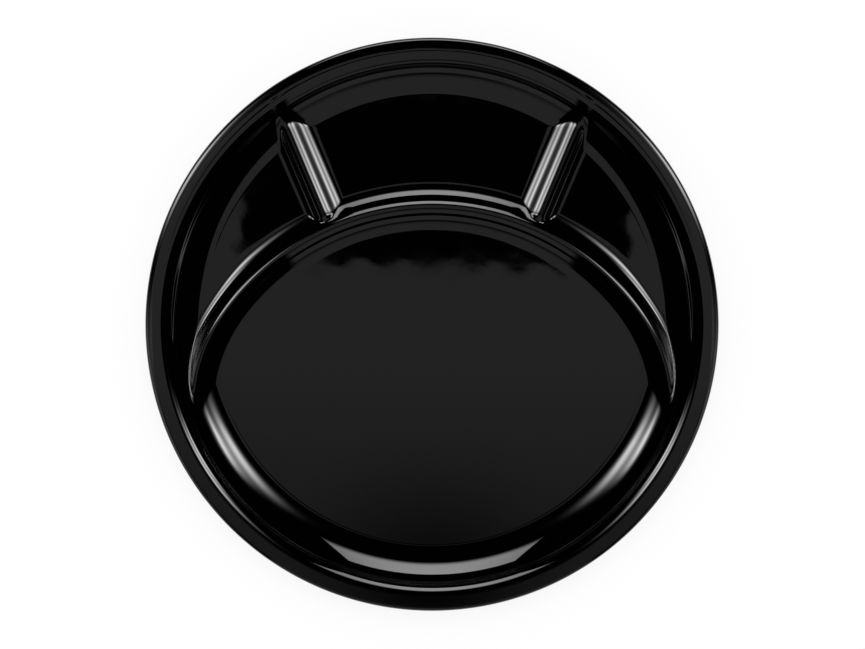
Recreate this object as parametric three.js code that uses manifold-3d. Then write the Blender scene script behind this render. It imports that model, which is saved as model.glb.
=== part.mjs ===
// Fondue plate: a round stoneware plate with one large well, and three sauce compartments behind
// a curved ridge. Millimetres, +Z up. The origin is the middle of the plane that the foot ring rests on.
// The sauce compartments lie towards +Y, the large well towards -Y.

import * as THREE from "three";
import { mergeVertices } from "three/addons/utils/BufferGeometryUtils.js";
import Module from "manifold-3d";

// Driving dimensions of the finished, glazed plate
const PLATE_DIAMETER = 240;
const RIM_WIDTH = 5.6; // from the outer edge in to where the wall turns down
const RIM_THICKNESS = 5.4;
const RIM_CROWN = 70; // gentle round of the rim's top towards its outer edge
const RIM_CROWN_TURN = 3.4; // degrees through which the top leans out there
const RIM_EDGE = 1.5; // round of the outer edge
const RIM_LOWER_EDGE = 2; // round of the edge below it
const WELL_DEPTH = 11; // from the top of the rim down to the main floor
const WALL_FILLET = 22.5; // hollow arc between the main floor and the wall
const WALL_SHOULDER = 6.5; // round arc between wall and rim
const CLAY_THICKNESS = 5; // floor and wall, glaze included

// Curved ridge, an arc about a point in front of the plate's centre, and the two dividers behind it
const RIDGE_CENTRE_FORWARD = 57.4;
const RIDGE_RADIUS = 107.4; // to the crest line
const RIDGE_HEIGHT = 5.5; // crest above the main floor
const CREST_ROUND = 3.2; // round arc over the crest of ridge and dividers
const RIDGE_FRONT_FILLET = 9.2; // towards the main floor
const SAUCE_FILLET = 10; // towards the sauce floors
const SAUCE_FLOOR_RISE = 1.6; // sauce floors above the main floor
const DIVIDER_HEIGHT = 3.3; // crest above the sauce floors
const DIVIDER_ANGLE = 23.8; // degrees either side of +Y, seen from the ridge's centre

// Foot ring and glaze
const FOOT_DIAMETER = 150; // middle of the ring
const FOOT_WIDTH = 5; // at the resting face, glaze included
const FOOT_HEIGHT = 2.5;
const FOOT_DRAFT = 0.28; // how far each side leans out for each millimetre of height
const BARE_FOOT_HEIGHT = 1.2; // unglazed band at the bottom of the foot
const GLAZE_THICKNESS = 0.5;

// Fineness of the round stretches
const ROUND_STEPS = 64;
const FILLET_STEPS = 4;
const SHOULDER_STEPS = 3;
const EDGE_STEPS = 2;

// Levels and radii worked out from the driving dimensions
const PLATE_RADIUS = PLATE_DIAMETER / 2;
const UNDERSIDE = FOOT_HEIGHT;
const MID_CLAY = UNDERSIDE + CLAY_THICKNESS / 2;
const MAIN_FLOOR = UNDERSIDE + CLAY_THICKNESS;
const SAUCE_FLOOR = MAIN_FLOOR + SAUCE_FLOOR_RISE;
const CREST = MAIN_FLOOR + RIDGE_HEIGHT;
const RIM_TOP = MAIN_FLOOR + WELL_DEPTH;
const RIM_UNDERSIDE = RIM_TOP - RIM_THICKNESS;
const RIM_INNER_RADIUS = PLATE_RADIUS - RIM_WIDTH;
const FOOT_RADIUS = FOOT_DIAMETER / 2;
const SAUCE_DEPTH = WELL_DEPTH - SAUCE_FLOOR_RISE;
const SAUCE_WALL_FILLET = // as steep as the main wall where it meets the shoulder
  ((WALL_FILLET + WALL_SHOULDER) * SAUCE_DEPTH) / WELL_DEPTH - WALL_SHOULDER;
const CUT_MARGIN = 1; // how far a cutting solid stands past what it cuts
const MERGE_DISTANCE = 1e-5;
const QUARTER_TURN = Math.PI / 2;

const wasm = await Module();
wasm.setup();

// Solids from three.js geometry, and back

function solidFrom(geometry) {
  geometry.deleteAttribute("normal");
  geometry.deleteAttribute("uv");
  const merged = mergeVertices(geometry, MERGE_DISTANCE);
  const corners = merged.index.array;
  const triVerts = [];
  for (let i = 0; i < corners.length; i += 3) {
    const [a, b, c] = corners.slice(i, i + 3);
    if (a !== b && b !== c && c !== a) triVerts.push(a, b, c);
  }
  const mesh = new wasm.Mesh({
    numProp: 3,
    vertProperties: merged.attributes.position.array,
    triVerts: new Uint32Array(triVerts),
  });
  return new wasm.Manifold(mesh);
}

function geometryFrom(solid) {
  const mesh = solid.getMesh();
  const geometry = new THREE.BufferGeometry();
  geometry.setAttribute("position", new THREE.BufferAttribute(mesh.vertProperties, 3));
  geometry.setIndex(new THREE.BufferAttribute(mesh.triVerts, 1));
  geometry.computeVertexNormals();
  return geometry;
}

// Turns a profile of [radius, height] points about +Z. The profile runs anticlockwise.
function turned(profile) {
  const points = profile.map(([radius, height]) => new THREE.Vector2(radius, height));
  return solidFrom(new THREE.LatheGeometry(points, ROUND_STEPS).rotateX(QUARTER_TURN));
}

function turnedRing(profile) {
  return turned([...profile, profile[0]]);
}

function disc(radius, bottom, top) {
  return turned([
    [0, bottom],
    [radius, bottom],
    [radius, top],
    [0, top],
  ]);
}

// Outlines as [across, height] points

function arc(centreAcross, centreHeight, radius, from, to, steps) {
  const points = [];
  for (let i = 0; i <= steps; i++) {
    const angle = from + ((to - from) * i) / steps;
    points.push([
      centreAcross + radius * Math.cos(angle),
      centreHeight + radius * Math.sin(angle),
    ]);
  }
  return points;
}

// A slope between a flat top and a flat floor is a round arc above that runs into a hollow arc below.
function steepestAngle(rise, hollow, round) {
  return Math.acos(1 - rise / (hollow + round));
}

function slopeRun(rise, hollow, round) {
  return (hollow + round) * Math.sin(steepestAngle(rise, hollow, round));
}

// The points down such a slope from [0, top]. Here and below, `skin` is how far the surface lies
// inside the finished one.
function slope(top, rise, hollow, round, skin) {
  const steepest = steepestAngle(rise, hollow, round);
  const run = slopeRun(rise, hollow, round);
  const up = QUARTER_TURN;
  const down = -QUARTER_TURN;
  const crown = arc(0, top - round, round - skin, up, up - steepest, SHOULDER_STEPS);
  const bowl = arc(run, top - rise + hollow, hollow + skin, down - steepest, down, FILLET_STEPS);
  return [...crown, ...bowl.slice(1)];
}

// A slope from a crest at a given height above the sauce floors down to them
function sauceSlope(height, skin) {
  return slope(SAUCE_FLOOR + height, height, SAUCE_FILLET, CREST_ROUND, skin);
}

// Cross-section of a low wall with a slope on each side of its crest, sunk a little into the floor
function lowWall(left, right, skin) {
  const buried = MAIN_FLOOR - skin - CUT_MARGIN;
  const [leftRun] = left.at(-1);
  const [rightRun] = right.at(-1);
  return [
    [-leftRun, buried],
    [rightRun, buried],
    ...right.toReversed(),
    ...left.slice(1).map(([along, height]) => [-along, height]),
  ];
}

// The rim's outer edge from its underside up and over to its flat top
function rimEdge(skin) {
  const up = QUARTER_TURN;
  const leaning = up - THREE.MathUtils.degToRad(RIM_CROWN_TURN);
  const crownLevel = RIM_TOP - RIM_CROWN;
  const edgeRadius = PLATE_RADIUS - RIM_EDGE;
  const crownRadius = edgeRadius - (RIM_CROWN - RIM_EDGE) * Math.cos(leaning);
  const edgeLevel = crownLevel + (RIM_CROWN - RIM_EDGE) * Math.sin(leaning);
  const lowerRadius = PLATE_RADIUS - RIM_LOWER_EDGE;
  const lowerLevel = RIM_UNDERSIDE + RIM_LOWER_EDGE;
  return [
    ...arc(lowerRadius, lowerLevel, RIM_LOWER_EDGE - skin, -up, 0, EDGE_STEPS),
    ...arc(edgeRadius, edgeLevel, RIM_EDGE - skin, 0, leaning, EDGE_STEPS),
    ...arc(crownRadius, crownLevel, RIM_CROWN - skin, leaning, up, EDGE_STEPS).slice(1),
  ];
}

// The plate without its foot, and with its well filled level with the rim
function blank(skin) {
  const wallCentre = RIM_INNER_RADIUS - slopeRun(WELL_DEPTH, WALL_FILLET, WALL_SHOULDER);
  const wallCentreHeight = MAIN_FLOOR + WALL_FILLET;
  const outside = WALL_FILLET + CLAY_THICKNESS - skin;
  const flare = Math.acos((wallCentreHeight - RIM_UNDERSIDE - skin) / outside);
  const down = -QUARTER_TURN;
  return turned([
    [0, UNDERSIDE + skin],
    ...arc(wallCentre, wallCentreHeight, outside, down, down + flare, FILLET_STEPS),
    ...rimEdge(skin),
    [0, RIM_TOP - skin],
  ]);
}

function footRing(skin) {
  const half = FOOT_WIDTH / 2 - skin;
  const lean = FOOT_DRAFT * MID_CLAY;
  return turnedRing([
    [FOOT_RADIUS - half, 0],
    [FOOT_RADIUS + half, 0],
    [FOOT_RADIUS + half + lean, MID_CLAY],
    [FOOT_RADIUS - half - lean, MID_CLAY],
  ]);
}

// A round well down to a given floor
function well(floor, fillet, skin) {
  const wall = slope(RIM_TOP, RIM_TOP - floor, fillet, WALL_SHOULDER, skin);
  const outward = wall.toReversed().map(([along, height]) => [RIM_INNER_RADIUS - along, height]);
  return turned([
    [0, floor - skin],
    ...outward,
    [RIM_INNER_RADIUS, RIM_TOP + CUT_MARGIN],
    [0, RIM_TOP + CUT_MARGIN],
  ]);
}

// The ridge as a whole ring, of which the well shows the rear arc
function ridge(skin) {
  const front = slope(CREST, RIDGE_HEIGHT, RIDGE_FRONT_FILLET, CREST_ROUND, skin);
  const section = lowWall(front, sauceSlope(RIDGE_HEIGHT - SAUCE_FLOOR_RISE, skin), skin);
  const ring = turnedRing(section.map(([across, height]) => [RIDGE_RADIUS + across, height]));
  return ring.translate([0, -RIDGE_CENTRE_FORWARD, 0]);
}

// The shallow sauce well everywhere, and the deeper main well inside the ridge's crest line
function bothWells(skin) {
  const front = disc(RIDGE_RADIUS, 0, RIM_TOP + 2 * CUT_MARGIN);
  const main = well(MAIN_FLOOR, WALL_FILLET, skin).intersect(front.translate([0, -RIDGE_CENTRE_FORWARD, 0]));
  return well(SAUCE_FLOOR, SAUCE_WALL_FILLET, skin).add(main);
}

// A straight divider from the ridge's crest line out past the wall
function divider(degrees, skin) {
  const side = sauceSlope(DIVIDER_HEIGHT, skin);
  const section = lowWall(side, side, skin);
  const shape = new THREE.Shape(section.map(([across, height]) => new THREE.Vector2(across, height)));
  const outerEnd = RIDGE_CENTRE_FORWARD + PLATE_RADIUS;
  const bar = new THREE.ExtrudeGeometry(shape, { depth: outerEnd - RIDGE_RADIUS, bevelEnabled: false });
  bar.rotateX(QUARTER_TURN);
  bar.translate(0, outerEnd, 0);
  bar.rotateZ(THREE.MathUtils.degToRad(degrees));
  bar.translate(0, -RIDGE_CENTRE_FORWARD, 0);
  return solidFrom(bar);
}

function plate(skin) {
  const hollow = bothWells(skin)
    .subtract(ridge(skin))
    .subtract(divider(DIVIDER_ANGLE, skin))
    .subtract(divider(-DIVIDER_ANGLE, skin));
  return blank(skin).add(footRing(skin)).subtract(hollow);
}

// The clay fills the finished plate less the glaze, which stops above the bare bottom of the foot ring.
const clay = plate(GLAZE_THICKNESS);
const bareFoot = disc(PLATE_RADIUS, -CUT_MARGIN, BARE_FOOT_HEIGHT);
const glaze = plate(0).subtract(clay).subtract(bareFoot);
const insideFoot = disc(FOOT_RADIUS, 0, MID_CLAY);

function piece(name, solid, color, roughness) {
  const material = new THREE.MeshStandardMaterial({ color, roughness, metalness: 0 });
  const mesh = new THREE.Mesh(geometryFrom(solid), material);
  mesh.name = name;
  return mesh;
}

const fonduePlate = new THREE.Group();
fonduePlate.add(
  piece("stoneware_body", clay, "#8d8276", 0.8),
  piece("glaze_coat", glaze.subtract(insideFoot), "#0b0b0c", 0.06),
  piece("base_glaze", glaze.intersect(insideFoot), "#0b0b0c", 0.06),
);

export default fonduePlate;
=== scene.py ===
"""Fondue plate of black glazed stoneware, seen from straight above in a plain studio."""

import math
from typing import NamedTuple

import bpy
import numpy as np
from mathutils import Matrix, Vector


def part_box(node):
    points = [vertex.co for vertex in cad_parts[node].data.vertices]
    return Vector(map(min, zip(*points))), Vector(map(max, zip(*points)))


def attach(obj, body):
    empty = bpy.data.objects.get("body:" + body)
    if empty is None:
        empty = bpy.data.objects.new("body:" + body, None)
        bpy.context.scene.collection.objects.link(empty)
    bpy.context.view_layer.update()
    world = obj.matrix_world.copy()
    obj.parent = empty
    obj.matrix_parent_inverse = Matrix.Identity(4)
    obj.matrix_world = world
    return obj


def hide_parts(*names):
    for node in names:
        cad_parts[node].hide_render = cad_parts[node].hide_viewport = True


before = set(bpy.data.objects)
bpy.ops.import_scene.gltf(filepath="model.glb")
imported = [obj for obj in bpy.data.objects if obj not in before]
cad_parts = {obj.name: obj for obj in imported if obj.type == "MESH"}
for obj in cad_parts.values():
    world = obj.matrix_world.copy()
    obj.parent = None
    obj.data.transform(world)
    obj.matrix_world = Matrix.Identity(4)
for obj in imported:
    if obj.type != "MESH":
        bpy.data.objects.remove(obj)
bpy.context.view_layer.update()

MM = 0.001
QUARTER = math.pi / 2

# Sizes of the glazed plate, as in the solids
_, glaze_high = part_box("glaze_coat")
PLATE_RADIUS = glaze_high.x
RIM_TOP = glaze_high.z
RIM_WIDTH = 5.6 * MM
RIM_THICKNESS = 5.4 * MM
RIM_CROWN = 70 * MM  # outer part of the rim's top, down to its edge
RIM_CROWN_TURN = math.radians(3.4)
RIM_EDGE = 1.5 * MM
RIM_LOWER_EDGE = 2 * MM
WELL_DEPTH = 11 * MM
WALL_FILLET = 22.5 * MM
SAUCE_WALL_FILLET = 15.6 * MM
WALL_SHOULDER = 6.5 * MM
CREASE = 0.02 * MM  # depth by which the wall's hollow is cut off at the floor
CLAY_THICKNESS = 5 * MM
GLAZE_THICKNESS = 0.5 * MM

# Ridge: each side of its crest falls off as a power of a cosine, down to nothing at its reach
RIDGE_CENTRE_FORWARD = 57.4 * MM
RIDGE_RADIUS = 107.4 * MM
RIDGE_HEIGHT = 5.5 * MM
RIDGE_FRONT_REACH = 10.94 * MM
RIDGE_FRONT_POWER = 3.93
RIDGE_REAR_REACH = 12.2 * MM
RIDGE_REAR_POWER = 5.0
RIDGE_REAR_SKEW = 0.9
SAUCE_FLOOR_RISE = 1.6 * MM
FLOOR_STEP_WIDTH = 12 * MM

# Ends of the ridge: each bends inwards and sinks from its start on, and has a shorter rear side
END_START = 5 * MM
END_LENGTH = 34 * MM
END_LIMIT = 1.5  # in lengths, after which it bends no further
END_BEND = 3.2 * MM
END_TAPER = 1.1 * MM
END_REAR_REACH = 10.0 * MM

# Distances from the middle line over which the ends' bend, reach and sharpness set in
END_BEND_SPAN = (60 * MM, 80 * MM)
END_REACH_SPAN = (75 * MM, 97 * MM)
END_SHARPNESS_SPAN = (70 * MM, 85 * MM)

# Dividers: of the same form as the ridge, steeper on the side away from the middle
DIVIDER_HEIGHT = 3.36 * MM  # above the sauce floors
DIVIDER_INNER_REACH = 16.35 * MM
DIVIDER_OUTER_REACH = 9 * MM
DIVIDER_POWER = 7.92
DIVIDER_SKEW = 1.14
DIVIDER_ANGLE = math.radians(23)
DIVIDER_SHIFT = 1.86 * MM  # outwards from the radius of the ridge's circle
CORNER_LENGTH = 5 * MM  # over which a divider sinks into the ridge

# How sharply two forms meet
CORNER_SHARPNESS = 2.5  # a divider and the ridge
WALL_SHARPNESS = 4  # a divider and the wall
END_SHARPNESS = 10  # an end of the ridge and the wall

# Foot ring
FOOT_RADIUS = 75 * MM
FOOT_WIDTH = 5 * MM
FOOT_HEIGHT = 2.5 * MM
FOOT_LEAN = math.atan(0.28)
FOOT_FILLET = 1 * MM
FOOT_EDGE = 0.9 * MM
GLAZE_LINE = 1.2 * MM
GLAZE_LINE_WAVE = 0.3 * MM
GLAZE_LINE_LENGTH = 9 * MM  # of its waves

# Unevenness of the poured glaze
RIPPLE_HEIGHT = 0.003 * MM
RIPPLE_LENGTH = 20 * MM
WAVE_SHARES = (1, 1.37, 0.74, 1.83)
WAVE_TURN = 2.4  # radians from one wave's direction to the next
WAVE_DELAY = 1.7  # radians from one wave's phase to the next

# Levels and radii that follow from them
MAIN_FLOOR = RIM_TOP - WELL_DEPTH
SAUCE_DEPTH = WELL_DEPTH - SAUCE_FLOOR_RISE
RIM_INNER_RADIUS = PLATE_RADIUS - RIM_WIDTH
CROWN_START = PLATE_RADIUS - RIM_EDGE - (RIM_CROWN - RIM_EDGE) * math.sin(RIM_CROWN_TURN)
UNDERSIDE = FOOT_HEIGHT

# Fineness of the meshes
AROUND = 960
FLAT_STEP = 4 * MM
FINE_STEP = 0.5 * MM
HIDDEN_STEP = 2 * MM
FINE_FROM = 36 * MM
ARC_STEPS = 14
SMALL_ARC_STEPS = 6


# Shape of the face

def smoothstep(value, start, end):
    t = np.clip((value - start) / (end - start), 0, 1)
    return t * t * (3 - 2 * t)


def smooth_max(a, b, sharpness):
    return (a**sharpness + b**sharpness) ** (1 / sharpness)


def steepest_angle(rise, hollow, rounding):
    return math.acos(1 - rise / (hollow + rounding))


def slope_run(rise, hollow, rounding):
    return (hollow + rounding) * math.sin(steepest_angle(rise, hollow, rounding))


def slope_turn(rise, hollow, rounding):
    """Distance from the top edge at which the round arc goes over into the hollow one."""
    return rounding * math.sin(steepest_angle(rise, hollow, rounding))


def slope(distance, rise, hollow, rounding):
    """Height above the floor at a distance from the top edge: a round arc into a hollow one."""
    run = slope_run(rise, hollow, rounding)
    turn = slope_turn(rise, hollow, rounding)
    d = np.clip(distance, 0, run)
    crown = rise - rounding + np.sqrt(np.maximum(rounding**2 - np.minimum(d, turn) ** 2, 0))
    bowl = hollow - np.sqrt(np.maximum(hollow**2 - (run - d) ** 2, 0))
    return np.maximum(np.where(d < turn, crown, bowl) - CREASE, 0)


def hump(distance, reach, power, skew=1):
    """One at the crest, falling to nothing at the reach; a skew over one broadens the crest."""
    return np.cos(np.clip(np.abs(distance) / reach, 0, 1) ** skew * QUARTER) ** power


def ridge_end(x, y):
    """Nothing along most of the ridge, growing along its ends."""
    along = np.clip((END_START - y) / END_LENGTH, 0, END_LIMIT)
    return along**2 * smoothstep(np.abs(x), *END_BEND_SPAN)


def divider_rise(x, forward, behind):
    """Height of the dividers above the sauce floors."""
    across = np.abs(x) * math.cos(DIVIDER_ANGLE) - forward * math.sin(DIVIDER_ANGLE) - DIVIDER_SHIFT
    reach = np.where(across > 0, DIVIDER_OUTER_REACH, DIVIDER_INNER_REACH)
    rise = DIVIDER_HEIGHT * hump(across, reach, DIVIDER_POWER, DIVIDER_SKEW)
    return rise * smoothstep(behind, 0, CORNER_LENGTH)


def low_walls(x, y):
    """Height of ridge, dividers and sauce floors above the main floor, and the way behind the crest."""
    forward = y + RIDGE_CENTRE_FORWARD
    end = ridge_end(x, y)
    behind = np.hypot(x, forward) - RIDGE_RADIUS + END_BEND * end
    top = RIDGE_HEIGHT - END_TAPER * np.minimum(end, 1)
    front = top * hump(behind, RIDGE_FRONT_REACH, RIDGE_FRONT_POWER)
    shorter = (RIDGE_REAR_REACH - END_REAR_REACH) * smoothstep(np.abs(x), *END_REACH_SPAN)
    rear_hump = hump(behind, RIDGE_REAR_REACH - shorter, RIDGE_REAR_POWER, RIDGE_REAR_SKEW)
    ridge = (top - SAUCE_FLOOR_RISE) * rear_hump
    divider = divider_rise(x, forward, behind)
    rear = SAUCE_FLOOR_RISE + smooth_max(ridge, divider, CORNER_SHARPNESS)
    return np.where(behind < 0, front, rear), behind


def face_height(x, y):
    """Height of the glazed face above the main floor, inside the rounded outer edge."""
    low_wall, behind = low_walls(x, y)
    raised = smoothstep(behind, -FLOOR_STEP_WIDTH / 2, FLOOR_STEP_WIDTH / 2)
    inward = RIM_INNER_RADIUS - np.hypot(x, y)
    main_wall = slope(inward, WELL_DEPTH + CREASE, WALL_FILLET, WALL_SHOULDER)
    sauce_slope = slope(inward, SAUCE_DEPTH + CREASE, SAUCE_WALL_FILLET, WALL_SHOULDER)
    sauce_wall = SAUCE_FLOOR_RISE + sauce_slope
    wall = main_wall + (sauce_wall - main_wall) * raised
    floor = SAUCE_FLOOR_RISE * raised
    low = np.maximum(low_wall - floor, 0)
    high = np.maximum(wall - floor, 0)
    at_end = smoothstep(np.abs(x), *END_SHARPNESS_SPAN)
    sharpness = WALL_SHARPNESS + (END_SHARPNESS - WALL_SHARPNESS) * at_end
    return floor + smooth_max(low, high, sharpness)


def uneven(x, y, length):
    """Slow waves of about this length that cross at several angles."""
    total = 0
    for i, share in enumerate(WAVE_SHARES):
        turn = WAVE_TURN * i
        along = x * math.cos(turn) + y * math.sin(turn)
        phase = 2 * math.pi * share * along / length + WAVE_DELAY * i
        total = total + np.sin(phase) / (2 * share)
    return total


# Rings of points about the plate's axis, each an array of [x, y, z] rows

angles = np.arange(AROUND) * (2 * math.pi / AROUND)


def level_ring(radius, height):
    x = radius * np.cos(angles)
    y = radius * np.sin(angles)
    return np.column_stack((x, y, np.broadcast_to(height, x.shape)))


def rings_from(profile):
    return [level_ring(radius, height) for radius, height in profile]


def rippled(ring):
    ring[:, 2] += RIPPLE_HEIGHT * uneven(ring[:, 0], ring[:, 1], RIPPLE_LENGTH)
    return ring


def radii_between(start, end, step):
    return np.linspace(start, end, round((end - start) / step) + 1)


def face_rings(step, skin):
    """The face from the axis out to where the rim's edge turns over, a skin below the glaze."""
    flat = np.arange(FLAT_STEP, FINE_FROM, FLAT_STEP)
    wall_turn = RIM_INNER_RADIUS - slope_turn(WELL_DEPTH, WALL_FILLET, WALL_SHOULDER)
    inner = radii_between(FINE_FROM, wall_turn, step)
    outer = radii_between(wall_turn, CROWN_START, step)
    rings = []
    for radius in [*flat, *inner, *outer[1:]]:
        ring = level_ring(radius, MAIN_FLOOR - skin)
        ring[:, 2] += face_height(ring[:, 0], ring[:, 1])
        rings.append(rippled(ring))
    return rings


def arc(centre, radius, start, end, steps):
    turns = np.linspace(start, end, steps + 1)
    return [(centre[0] + radius * math.cos(a), centre[1] + radius * math.sin(a)) for a in turns]


def rim_edge_profile(skin):
    """[radius, height] points down the rim's outer edge, from its flat top to its underside."""
    turned = QUARTER - RIM_CROWN_TURN
    crown_level = RIM_TOP - RIM_CROWN
    edge_level = crown_level + (RIM_CROWN - RIM_EDGE) * math.cos(RIM_CROWN_TURN)
    lower_level = RIM_TOP - RIM_THICKNESS + RIM_LOWER_EDGE
    edge_centre = (PLATE_RADIUS - RIM_EDGE, edge_level)
    lower_centre = (PLATE_RADIUS - RIM_LOWER_EDGE, lower_level)
    crown = arc((CROWN_START, crown_level), RIM_CROWN - skin, QUARTER, turned, SMALL_ARC_STEPS)
    edge = arc(edge_centre, RIM_EDGE - skin, turned, 0, SMALL_ARC_STEPS)
    lower = arc(lower_centre, RIM_LOWER_EDGE - skin, 0, -QUARTER, SMALL_ARC_STEPS)
    return [*crown[1:], *edge[1:], *lower]


def outside_profile(skin):
    """[radius, height] points from the rim's outer edge down and in to the flat underside."""
    wall_centre = RIM_INNER_RADIUS - slope_run(WELL_DEPTH, WALL_FILLET, WALL_SHOULDER)
    wall_level = MAIN_FLOOR + WALL_FILLET
    wall_radius = WALL_FILLET + CLAY_THICKNESS - skin
    rim_underside = RIM_TOP - RIM_THICKNESS + skin
    flare = math.acos((wall_level - rim_underside) / wall_radius)
    wall = arc((wall_centre, wall_level), wall_radius, flare - QUARTER, -QUARTER, ARC_STEPS)
    return [*rim_edge_profile(skin), *wall]


def mirrored(profile, side):
    """The same points on the outer side (1) or the inner side (-1) of the foot ring."""
    return [(FOOT_RADIUS + side * across, height) for across, height in profile]


def foot_half_width(height, skin):
    return FOOT_WIDTH / 2 + height * math.tan(FOOT_LEAN) - skin / math.cos(FOOT_LEAN)


def foot_fillet(side, skin):
    """From the underside round into the foot's side."""
    level = UNDERSIDE - FOOT_FILLET
    across = foot_half_width(level, 0) + FOOT_FILLET / math.cos(FOOT_LEAN)
    points = arc((across, level), FOOT_FILLET + skin, QUARTER, math.pi - FOOT_LEAN, SMALL_ARC_STEPS)
    return mirrored(points, side)


def bare_edge(side):
    """From the foot's side round into its resting face."""
    across = foot_half_width(FOOT_EDGE, GLAZE_THICKNESS) - FOOT_EDGE / math.cos(FOOT_LEAN)
    points = arc((across, FOOT_EDGE), FOOT_EDGE, -FOOT_LEAN, -QUARTER, SMALL_ARC_STEPS)
    return mirrored(points, side)


def glaze_lip(side):
    """Rounded end of the glaze on the foot's side, along a wavy line."""
    radius = GLAZE_THICKNESS / 2
    level = GLAZE_LINE + radius
    across = foot_half_width(level, radius)
    points = arc((across, level), radius, -FOOT_LEAN, -FOOT_LEAN - math.pi, SMALL_ARC_STEPS)
    rings = rings_from(mirrored(points, side))
    for ring in rings:
        ring[:, 2] += GLAZE_LINE_WAVE * uneven(ring[:, 0], ring[:, 1], GLAZE_LINE_LENGTH)
    return rings


def new_object(name, points, faces, material):
    mesh = bpy.data.meshes.new(name)
    mesh.from_pydata(points, [], faces)
    mesh.materials.append(material)
    made = bpy.data.objects.new(name, mesh)
    bpy.context.scene.collection.objects.link(made)
    return made


def mesh_piece(name, rings, top, bottom, material):
    """A closed skin through rings of points, ended by a fan about the top and the bottom point."""
    points = np.vstack([*rings, [top, bottom]])
    top_index, bottom_index = len(points) - 2, len(points) - 1
    here = np.arange(AROUND)
    after = np.roll(here, -1)
    faces = [(top_index, a, b) for a, b in zip(here, after)]
    for level in range(len(rings) - 1):
        low, high = level * AROUND, (level + 1) * AROUND
        faces += [(low + a, high + a, high + b, low + b) for a, b in zip(here, after)]
    last = (len(rings) - 1) * AROUND
    faces += [(bottom_index, last + b, last + a) for a, b in zip(here, after)]
    piece = new_object(name, points.tolist(), [tuple(map(int, face)) for face in faces], material)
    piece.data.shade_smooth()
    return piece


# Shader nodes

MIX_LOW, MIX_HIGH, MIX_RESULT = 6, 7, 2  # a mix node's sockets for colours


def add(tree, kind, inputs=None, **settings):
    item = tree.nodes.new(kind)
    for name, value in settings.items():
        setattr(item, name, value)
    for key, value in (inputs or {}).items():
        if isinstance(value, bpy.types.NodeSocket):
            tree.links.new(value, item.inputs[key])
        else:
            item.inputs[key].default_value = value
    return item


def number(tree, operation, *values):
    return add(tree, "ShaderNodeMath", dict(enumerate(values)), operation=operation).outputs[0]


def product(tree, first, *others):
    for other in others:
        first = number(tree, "MULTIPLY", first, other)
    return first


def largest(tree, first, *others):
    for other in others:
        first = number(tree, "MAXIMUM", first, other)
    return first


def rest_of(tree, share):
    return number(tree, "SUBTRACT", 1.0, share)


def length_of(tree, a, b):
    return number(tree, "SQRT", number(tree, "ADD", product(tree, a, a), product(tree, b, b)))


def fade(tree, value, start, end, low=0.0, high=1.0):
    inputs = {"Value": value, "From Min": start, "From Max": end, "To Min": low, "To Max": high}
    return add(tree, "ShaderNodeMapRange", inputs, interpolation_type="SMOOTHSTEP").outputs["Result"]


def bell_of(tree, share, power):
    return number(tree, "EXPONENT", product(tree, number(tree, "POWER", share, power), -1.0))


def two_sided(tree, value, plus_width, minus_width):
    """Distance from the middle in widths, each side with its own."""
    plus = number(tree, "DIVIDE", value, plus_width)
    minus = number(tree, "DIVIDE", value, -minus_width)
    return largest(tree, plus, minus)


def noise_field(tree, place, scale, detail):
    inputs = {"Vector": place, "Scale": scale, "Detail": detail}
    return add(tree, "ShaderNodeTexNoise", inputs).outputs["Fac"]


def mix_colour(tree, factor, low, high):
    inputs = {0: factor, MIX_LOW: (*low, 1), MIX_HIGH: (*high, 1)}
    return add(tree, "ShaderNodeMix", inputs, data_type="RGBA").outputs[MIX_RESULT]


def object_place(tree):
    return add(tree, "ShaderNodeTexCoord").outputs["Object"]


def split_axes(tree, vector):
    return add(tree, "ShaderNodeSeparateXYZ", {"Vector": vector}).outputs


def bumped(tree, height, strength, distance):
    inputs = {"Height": height, "Strength": strength, "Distance": distance}
    return add(tree, "ShaderNodeBump", inputs).outputs["Normal"]


def new_material(name):
    material = bpy.data.materials.new(name)
    material.use_nodes = True
    tree = material.node_tree
    tree.nodes.clear()
    return material, tree


def finish_surface(tree, shader_output):
    add(tree, "ShaderNodeOutputMaterial", {"Surface": shader_output})


# Finishes

NOISE_SPAN = (0.3, 0.7)  # in which most of a noise field's values lie

GLAZE_DARKEST = (0.0001, 0.0001, 0.0001)
GLAZE_PALEST = (0.0004, 0.0004, 0.0004)
GLAZE_ROUGHNESS = (0.012, 0.03)
GLAZE_IOR = 1.6
SMEAR_SCALE = 60.0
PEEL_SCALE = 300.0
PEEL_STRENGTH = 0.01
PEEL_DEPTH = 0.1 * MM

CLAY_DARKEST = (0.36, 0.31, 0.26)
CLAY_PALEST = (0.52, 0.47, 0.42)
CLAY_ROUGHNESS = (0.75, 0.95)
CLOUD_SCALE = 90.0
GRAIN_SCALE = 2600.0
GRAIN_STRENGTH = 0.4
GRAIN_DEPTH = 0.2 * MM
SPECK_SCALE = 420.0
SPECK_EDGE = (0.08, 0.2)  # distances from a speck's middle, in its spacing
SPECK_TONE = 0.35


def black_glaze():
    """Deep black, mirror-like, with slow smears in its gloss and a faint orange peel."""
    material, tree = new_material("black_glaze")
    place = object_place(tree)
    smears = noise_field(tree, place, SMEAR_SCALE, 3.0)
    peel = noise_field(tree, place, PEEL_SCALE, 1.0)
    inputs = {
        "Base Color": mix_colour(tree, smears, GLAZE_DARKEST, GLAZE_PALEST),
        "Roughness": fade(tree, smears, *NOISE_SPAN, *GLAZE_ROUGHNESS),
        "IOR": GLAZE_IOR,
        "Normal": bumped(tree, peel, PEEL_STRENGTH, PEEL_DEPTH),
    }
    finish_surface(tree, add(tree, "ShaderNodeBsdfPrincipled", inputs).outputs["BSDF"])
    return material


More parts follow.
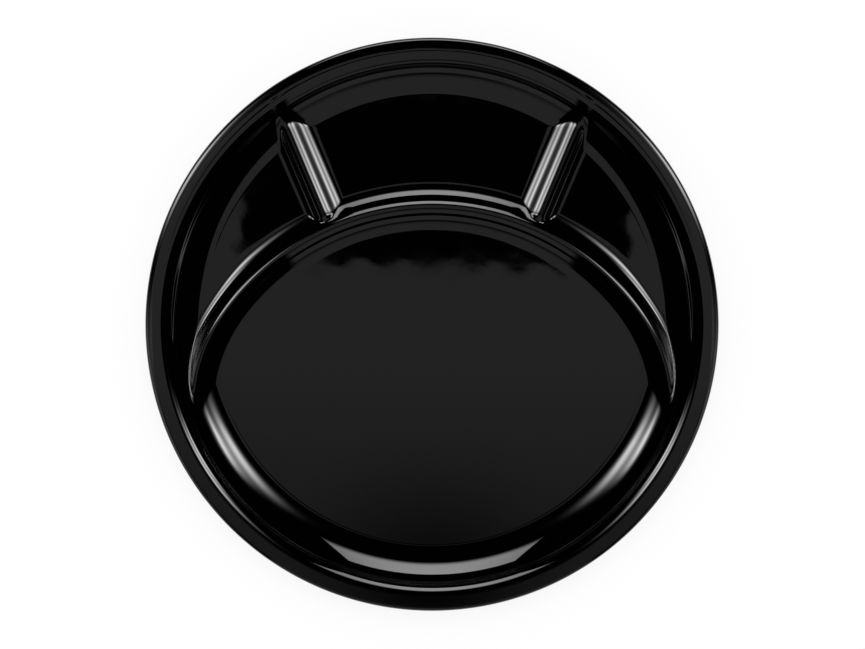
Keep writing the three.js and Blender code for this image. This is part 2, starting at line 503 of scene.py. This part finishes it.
def bare_clay():
    """Matte fired clay with cloudy tones, grain and dark iron specks."""
    material, tree = new_material("bare_stoneware")
    place = object_place(tree)
    clouds = noise_field(tree, place, CLOUD_SCALE, 4.0)
    grain = noise_field(tree, place, GRAIN_SCALE, 4.0)
    cells = add(tree, "ShaderNodeTexVoronoi", {"Vector": place, "Scale": SPECK_SCALE})
    speck_shade = fade(tree, cells.outputs["Distance"], *SPECK_EDGE, SPECK_TONE, 1.0)
    tone = mix_colour(tree, clouds, CLAY_DARKEST, CLAY_PALEST)
    shaded = add(tree, "ShaderNodeVectorMath", {0: tone, 1: speck_shade}, operation="MULTIPLY")
    inputs = {
        "Base Color": shaded.outputs[0],
        "Roughness": fade(tree, grain, *NOISE_SPAN, *CLAY_ROUGHNESS),
        "Normal": bumped(tree, grain, GRAIN_STRENGTH, GRAIN_DEPTH),
    }
    finish_surface(tree, add(tree, "ShaderNodeBsdfPrincipled", inputs).outputs["BSDF"])
    return material


# Pieces

def on_axis(height):
    return np.array([0.0, 0.0, height])


def underside_rings(skin):
    """The underside inside the foot ring, from the axis outwards."""
    reach = FOOT_RADIUS - FOOT_WIDTH
    radii = np.arange(FLAT_STEP, reach - FLAT_STEP, FLAT_STEP)
    return [rippled(level_ring(radius, UNDERSIDE + skin)) for radius in radii]


def make_coat(glaze):
    """The glaze over face, rim and outside, down to the bare foot."""
    skin = GLAZE_THICKNESS
    seen = [
        *face_rings(FINE_STEP, 0),
        *rings_from(outside_profile(0)),
        *rings_from(foot_fillet(1, 0)),
    ]
    hidden = [
        *face_rings(HIDDEN_STEP, skin),
        *rings_from(outside_profile(skin)),
        *rings_from(foot_fillet(1, skin)),
    ]
    rings = [*seen, *glaze_lip(1), *reversed(hidden)]
    top, bottom = on_axis(MAIN_FLOOR), on_axis(MAIN_FLOOR - skin)
    return mesh_piece("glaze_coat_skin", rings, top, bottom, glaze)


def make_base(glaze):
    """The glaze on the underside, inside the foot ring."""
    skin = GLAZE_THICKNESS
    hidden = [*underside_rings(skin), *rings_from(foot_fillet(-1, skin))]
    seen = [*underside_rings(0), *rings_from(foot_fillet(-1, 0))]
    rings = [*hidden, *reversed(glaze_lip(-1)), *reversed(seen)]
    top, bottom = on_axis(UNDERSIDE + skin), on_axis(UNDERSIDE)
    return mesh_piece("base_glaze_skin", rings, top, bottom, glaze)


def make_body(clay):
    """The clay, seen only at the bare foot ring."""
    skin = GLAZE_THICKNESS
    rings = [
        *face_rings(HIDDEN_STEP, skin),
        *rings_from(outside_profile(skin)),
        *rings_from(foot_fillet(1, skin)),
        *rings_from(bare_edge(1)),
        *reversed(rings_from(bare_edge(-1))),
        *reversed(rings_from(foot_fillet(-1, skin))),
        *reversed(underside_rings(skin)),
    ]
    top, bottom = on_axis(MAIN_FLOOR - skin), on_axis(UNDERSIDE + skin)
    return mesh_piece("stoneware_clay", rings, top, bottom, clay)


glaze_material = black_glaze()
for piece, node, slot in (
    (make_coat(glaze_material), "glaze_coat", "black_glaze"),
    (make_base(glaze_material), "base_glaze", "black_glaze"),
    (make_body(bare_clay()), "stoneware_body", "stoneware"),
):
    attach(piece, "root")
    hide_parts(node)


# Camera straight above, with the photograph's framing

FRAME_WIDTH = 865  # pixels
PIXEL_SIZE = 0.4189 * MM
CAMERA_DISTANCE = 1.5
CAMERA_OFFSET = (0.5 * PIXEL_SIZE, -0.3 * PIXEL_SIZE)
SENSOR_WIDTH = 36.0
WIDEST_LEVEL = RIM_TOP - RIM_THICKNESS / 2


def overhead_camera():
    data = bpy.data.cameras.new("overhead")
    data.sensor_width = SENSOR_WIDTH
    data.lens = SENSOR_WIDTH * CAMERA_DISTANCE / (FRAME_WIDTH * PIXEL_SIZE)
    camera = bpy.data.objects.new("overhead", data)
    camera.location = (*CAMERA_OFFSET, WIDEST_LEVEL + CAMERA_DISTANCE)
    bpy.context.scene.collection.objects.link(camera)
    bpy.context.scene.camera = camera


# Cards of the studio, which show only where something mirrors them

QUAD = [(0, 1, 2, 3)]


def stage_card(name, corners, material):
    card = new_object(name, corners, QUAD, material)
    card.visible_camera = False
    card.visible_diffuse = False
    card.visible_transmission = False
    card.visible_volume_scatter = False
    card.visible_shadow = False
    return card


def place_card(name, centre, half_width, half_height, aim, material):
    """A flat panel with its +Z towards a point, and its +Y as far upright as that leaves it."""
    signs = [(-1, -1), (1, -1), (1, 1), (-1, 1)]
    card = stage_card(name, [(x * half_width, y * half_height, 0) for x, y in signs], material)
    card.location = centre
    card.rotation_mode = "QUATERNION"
    card.rotation_quaternion = (Vector(aim) - Vector(centre)).to_track_quat("Z", "Y")


def light_material(name, radiance, share_at):
    """Light from the front of a card, with a share of the radiance that depends on the place."""
    material, tree = new_material(name)
    axes = split_axes(tree, object_place(tree))
    behind = add(tree, "ShaderNodeNewGeometry").outputs["Backfacing"]
    strength = product(tree, rest_of(tree, behind), radiance, share_at(tree, axes["X"], axes["Y"]))
    light = add(tree, "ShaderNodeEmission", {"Color": (1, 1, 1, 1), "Strength": strength}).outputs[0]
    clear = add(tree, "ShaderNodeBsdfTransparent").outputs[0]
    finish_surface(tree, add(tree, "ShaderNodeAddShader", {0: light, 1: clear}).outputs[0])
    return material


# Soft lamps beside the plate, an upper and a lower one on each side

CARD_REACH = 2.6  # half size of a side lamp's card, in widths of its glow


class SideLamp(NamedTuple):
    """A lamp on the right: its place, and how its glow falls off from there."""

    place: tuple
    front: float
    rear: float
    below: float
    above: float
    along_power: float
    across_power: float
    lean: float
    bend: float
    radiance: float


SIDE_LAMPS = {
    "upper": SideLamp(
        place=(0.369, 0.236, 0.927),
        front=0.068,
        rear=0.134,
        below=0.13,
        above=0.09,
        along_power=2.08,
        across_power=1.96,
        lean=-0.32,
        bend=0.52,
        radiance=11.6,
    ),
    "lower": SideLamp(
        place=(0.821, 0.445, 0.882),
        front=0.115,
        rear=0.157,
        below=0.078,
        above=0.157,
        along_power=2.42,
        across_power=1.55,
        lean=-0.04,
        bend=0.54,
        radiance=12.8,
    ),
}


def side_lamp(name, side, lamp):
    """A glowing card facing the plate from the right (1) or the left (-1)."""

    def glow(tree, x, y):
        forward = product(tree, x, float(side))
        along = bell_of(tree, two_sided(tree, forward, lamp.front, lamp.rear), lamp.along_power)
        lean = product(tree, forward, number(tree, "MULTIPLY_ADD", forward, lamp.bend, lamp.lean))
        upward = number(tree, "ADD", y, lean)
        across = bell_of(tree, two_sided(tree, upward, lamp.above, lamp.below), lamp.across_power)
        return product(tree, along, across)

    beside, rearward, height = lamp.place
    half_width = CARD_REACH * max(lamp.front, lamp.rear)
    half_height = CARD_REACH * max(lamp.below, lamp.above)
    material = light_material(name, lamp.radiance, glow)
    centre = (side * beside, rearward, height)
    place_card(name, centre, half_width, half_height, (0, rearward, 0), material)


def side_lamps():
    for name, lamp in SIDE_LAMPS.items():
        side_lamp(f"right_{name}_lamp", 1, lamp)
        side_lamp(f"left_{name}_lamp", -1, lamp)


# Broad lamp behind the plate, which the front of the wall mirrors

REAR_LAMP = (0, 0.553, 0.469)
REAR_AIM = (0, -0.102, 0.01)
REAR_HALF_WIDTH = 0.235
REAR_HALF_HEIGHT = 0.205
REAR_RADIANCE = 4.7
REAR_GLOW_WIDTH = 0.35
REAR_GLOW_POWER = 2.0
REAR_FULL_BELOW = 0.35  # of its half height, above which the glow fades


def rear_lamp():
    def glow(tree, x, y):
        sideways = number(tree, "DIVIDE", number(tree, "ABSOLUTE", x), REAR_GLOW_WIDTH)
        top = fade(tree, y, REAR_HALF_HEIGHT, REAR_FULL_BELOW * REAR_HALF_HEIGHT)
        return product(tree, bell_of(tree, sideways, REAR_GLOW_POWER), top)

    material = light_material("rear_lamp", REAR_RADIANCE, glow)
    place_card("rear_lamp", REAR_LAMP, REAR_HALF_WIDTH, REAR_HALF_HEIGHT, REAR_AIM, material)


# Dark cloth above the front of the plate, thick in its middle, which the front mirrors

CLOTH_HEIGHT = 0.11
CLOTH_FRONT = -0.2
CLOTH_REAR = 0.0
CLOTH_HALF_WIDTH = 0.2
CLOTH_COVER = 0.42  # share of the light that it keeps back where it is thin
COVER_REAR = -0.11  # the cover is full between these lines, and fades out to the cloth's edges
COVER_FRONT = -0.15
COVER_HALF_WIDTH = 0.13
CLOTH_MIDDLE = -0.125
THICK_FADE = (0.085, -0.015)  # distances from the middle


def cloth_cover(tree, x, y):
    """Share of the light that the cloth keeps back at a place."""
    rear = fade(tree, y, CLOTH_REAR, COVER_REAR, 0.0, CLOTH_COVER)
    front = fade(tree, y, CLOTH_FRONT, COVER_FRONT)
    sides = fade(tree, number(tree, "ABSOLUTE", x), CLOTH_HALF_WIDTH, COVER_HALF_WIDTH)
    thin = product(tree, rear, front, sides)
    from_middle = length_of(tree, x, number(tree, "SUBTRACT", y, CLOTH_MIDDLE))
    thick = fade(tree, from_middle, *THICK_FADE)
    return rest_of(tree, product(tree, rest_of(tree, thin), rest_of(tree, thick)))


def dark_cloth():
    material, tree = new_material("dark_cloth")
    axes = split_axes(tree, object_place(tree))
    clear = add(tree, "ShaderNodeBsdfTransparent").outputs[0]
    black = add(tree, "ShaderNodeBsdfDiffuse", {"Color": (0, 0, 0, 1)}).outputs[0]
    cover = cloth_cover(tree, axes["X"], axes["Y"])
    finish_surface(tree, add(tree, "ShaderNodeMixShader", {0: cover, 1: clear, 2: black}).outputs[0])
    side = CLOTH_HALF_WIDTH
    front_edge = [(-side, CLOTH_FRONT, 0), (side, CLOTH_FRONT, 0)]
    rear_edge = [(side, CLOTH_REAR, 0), (-side, CLOTH_REAR, 0)]
    cloth = stage_card("dark_cloth", [*front_edge, *rear_edge], material)
    cloth.location.z = CLOTH_HEIGHT


# Pale boards that hang over the rim's left and right edges, facing down, which the outer lip mirrors

BOARD_INNER = (0.122, 0.05)  # distance from the middle, and height
BOARD_OUTER = (0.3, 0.085)
BOARD_REAR = 0.03
BOARD_FRONT = -0.2
BOARD_RADIANCE = 1.0
BOARD_INNER_SHARE = 0.35  # of the glow at the inner edge
BOARD_FULL_BESIDE = 0.16  # the glow is full outside this distance and between these lines
BOARD_FULL_REAR = -0.02
BOARD_FULL_FRONT = -0.12


def board_glow(tree, x, y):
    beside = number(tree, "ABSOLUTE", x)
    outward = fade(tree, beside, BOARD_INNER[0], BOARD_FULL_BESIDE, BOARD_INNER_SHARE, 1.0)
    rear = fade(tree, y, BOARD_REAR, BOARD_FULL_REAR)
    front = fade(tree, y, BOARD_FRONT, BOARD_FULL_FRONT)
    return product(tree, outward, product(tree, rear, front))


def side_boards():
    edges = [BOARD_INNER, BOARD_OUTER]
    for name, side in (("right_board", 1), ("left_board", -1)):
        front = [(side * beside, BOARD_FRONT, height) for beside, height in edges]
        rear = [(side * beside, BOARD_REAR, height) for beside, height in reversed(edges)]
        corners = [*front, *rear]
        if side > 0:
            corners.reverse()
        stage_card(name, corners, light_material(name, BOARD_RADIANCE, board_glow))


# Pale floor, the dim room and an overhead fill

FLOOR_HALF_WIDTH = 4.0
FLOOR_COLOUR = (0.95, 0.95, 0.95, 1)
FLOOR_WHITE = 0.85  # share of even white that is seen over the floor's own shade


def floor_material():
    material, tree = new_material("pale_floor")
    path = add(tree, "ShaderNodeLightPath").outputs
    seen = largest(tree, path["Is Camera Ray"], path["Is Glossy Ray"], path["Is Transmission Ray"])
    matte = add(tree, "ShaderNodeBsdfDiffuse", {"Color": FLOOR_COLOUR}).outputs[0]
    white = add(tree, "ShaderNodeEmission", {"Strength": 1.0}).outputs[0]
    share = product(tree, seen, FLOOR_WHITE)
    finish_surface(tree, add(tree, "ShaderNodeMixShader", {0: share, 1: matte, 2: white}).outputs[0])
    return material


def studio_floor():
    half = FLOOR_HALF_WIDTH
    corners = [(-half, -half, 0), (half, -half, 0), (half, half, 0), (-half, half, 0)]
    floor = new_object("floor", corners, QUAD, floor_material())


# The room by direction, as x and y of a unit vector: grey in front, in a disc and overhead
ROOM_STRENGTH = 0.37
FRONT_SPREAD = 1.5  # the front's edge runs forward by this much to the sides
FRONT_FADE = (0.04, -0.04)
DISC_FORWARD = 0.3
DISC_FADE = (0.335, 0.315)
OVERHEAD_REAR_FADE = (0.112, 0.098)
OVERHEAD_FRONT_FADE = (-0.06, -0.03)
OVERHEAD_SIDE_FADE = (0.22, 0.17)
OVERHEAD_CORNER = 0.085  # beside this, the rear edge runs forward
OVERHEAD_CORNER_SLOPE = 0.6

# Dark panel overhead, which the sauce floors and the rear of the main floor mirror
PANEL_FRONT_FADE = (0.015, 0.0175)
PANEL_REAR_FADE = (0.0675, 0.0655)
PANEL_SIDE_FADE = (0.0555, 0.053)

AMBIENT = 0.95


def overhead_grey(tree, beside, y):
    spread = largest(tree, number(tree, "SUBTRACT", beside, OVERHEAD_CORNER), 0.0)
    rearward = number(tree, "ADD", y, product(tree, spread, OVERHEAD_CORNER_SLOPE))
    rear = fade(tree, rearward, *OVERHEAD_REAR_FADE)
    front = fade(tree, y, *OVERHEAD_FRONT_FADE)
    sides = fade(tree, beside, *OVERHEAD_SIDE_FADE)
    return product(tree, rear, front, sides)


def dark_panel(tree, beside, y):
    front = fade(tree, y, *PANEL_FRONT_FADE)
    rear = fade(tree, y, *PANEL_REAR_FADE)
    sides = fade(tree, beside, *PANEL_SIDE_FADE)
    return product(tree, front, rear, sides)


def room_grey(tree):
    """Strength of the dim room, by direction."""
    axes = split_axes(tree, add(tree, "ShaderNodeTexCoord").outputs["Generated"])
    x, y = axes["X"], axes["Y"]
    beside = number(tree, "ABSOLUTE", x)
    edge = number(tree, "ADD", y, product(tree, beside, FRONT_SPREAD))
    front = fade(tree, edge, *FRONT_FADE)
    disc = fade(tree, length_of(tree, x, number(tree, "ADD", y, DISC_FORWARD)), *DISC_FADE)
    grey = largest(tree, front, disc, overhead_grey(tree, beside, y))
    return product(tree, grey, rest_of(tree, dark_panel(tree, beside, y)), ROOM_STRENGTH)


def studio_world():
    world = bpy.data.worlds.new("studio")
    world.use_nodes = True
    tree = world.node_tree
    tree.nodes.clear()
    path = add(tree, "ShaderNodeLightPath").outputs
    seen = largest(tree, path["Is Camera Ray"], path["Is Transmission Ray"])
    ambient = add(tree, "ShaderNodeBackground", {"Strength": AMBIENT}).outputs[0]
    room = add(tree, "ShaderNodeBackground", {"Strength": room_grey(tree)}).outputs[0]
    white = add(tree, "ShaderNodeBackground", {"Strength": 1.0}).outputs[0]
    lit = add(tree, "ShaderNodeMixShader", {0: path["Is Glossy Ray"], 1: ambient, 2: room})
    mix = add(tree, "ShaderNodeMixShader", {0: seen, 1: lit.outputs[0], 2: white})
    add(tree, "ShaderNodeOutputWorld", {"Surface": mix.outputs[0]})
    bpy.context.scene.world = world


FILL_SIZE = 1.5
FILL_ENERGY = 20
FILL_PLACE = (0, 0.4, 2.2)


def fill_lamp():
    data = bpy.data.lights.new("fill", "AREA")
    data.shape = "DISK"
    data.size = FILL_SIZE
    data.energy = FILL_ENERGY
    lamp = bpy.data.objects.new("fill", data)
    lamp.location = FILL_PLACE
    lamp.rotation_mode = "QUATERNION"
    lamp.rotation_quaternion = (-lamp.location).to_track_quat("-Z", "Y")
    lamp.visible_glossy = False
    bpy.context.scene.collection.objects.link(lamp)


overhead_camera()
side_lamps()
rear_lamp()
dark_cloth()
side_boards()
studio_floor()
studio_world()
fill_lamp()

bpy.context.scene.view_settings.view_transform = "Standard"
